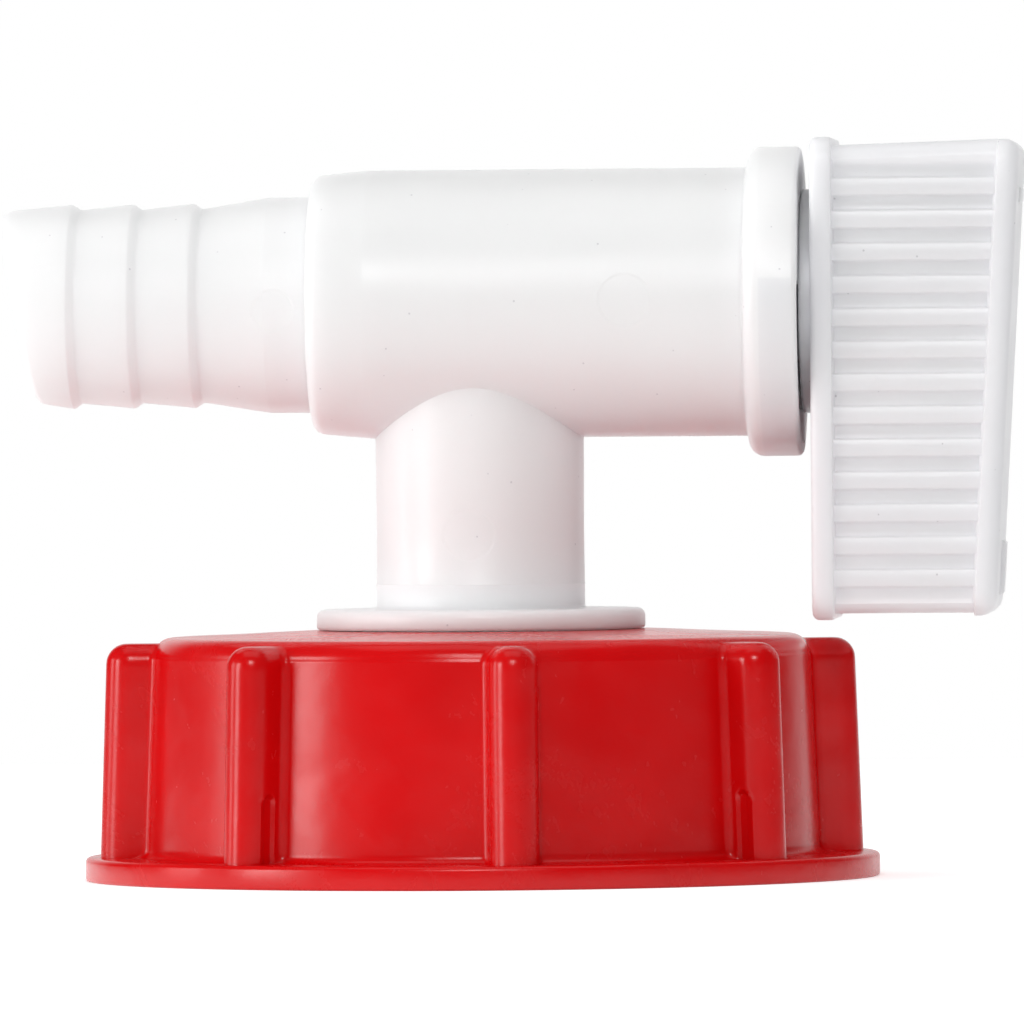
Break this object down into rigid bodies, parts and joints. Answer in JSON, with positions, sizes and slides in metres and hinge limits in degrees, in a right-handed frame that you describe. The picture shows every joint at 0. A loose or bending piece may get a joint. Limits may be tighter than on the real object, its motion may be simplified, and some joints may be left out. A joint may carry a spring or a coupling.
{
  "type": "drain valve",
  "caption": "Moulded drain tap on a ribbed container cap: barbed hose tail, swivelling inlet stub and a hollow plug turned by a ribbed bar lever.",
  "frame": {"origin": "centre of the screw cap's open mouth, where the container neck enters", "axes": "+Z along the cap's axis away from the container, +X along the barrel towards the lever, hose tail towards -X"},
  "size_m": [0.1028, 0.08, 0.0742],
  "materials": {
    "cap": "glossy red moulded polyethylene with a fine grain",
    "body": "natural translucent polyethylene, satin",
    "lever": "natural translucent polyethylene, slightly greyer, satin",
    "gasket": "pale grey gasket rubber",
    "seal": "black sealing rubber"
  },
  "bodies": {
    "cap": {"screw_cap": "cap"},
    "tap": {"tap_body": "body", "clamp_nut": "body", "spigot_seal": "seal", "neck_gasket": "gasket"},
    "valve": {"plug": "lever", "outlet_ring": "seal", "lever_ring": "seal", "handle": "lever"}
  },
  "joints": [
    {"name": "tap_swivel", "type": "hinge", "parent": "cap", "child": "tap", "pos_m": [0, 0, 0.025], "axis": [0, 0, 1], "continuous": true},
    {"name": "lever_turn", "type": "hinge", "parent": "tap", "child": "valve", "pos_m": [0, 0, 0.0578], "axis": [-1, 0, 0], "range_deg": [0, 90]}
  ]
}
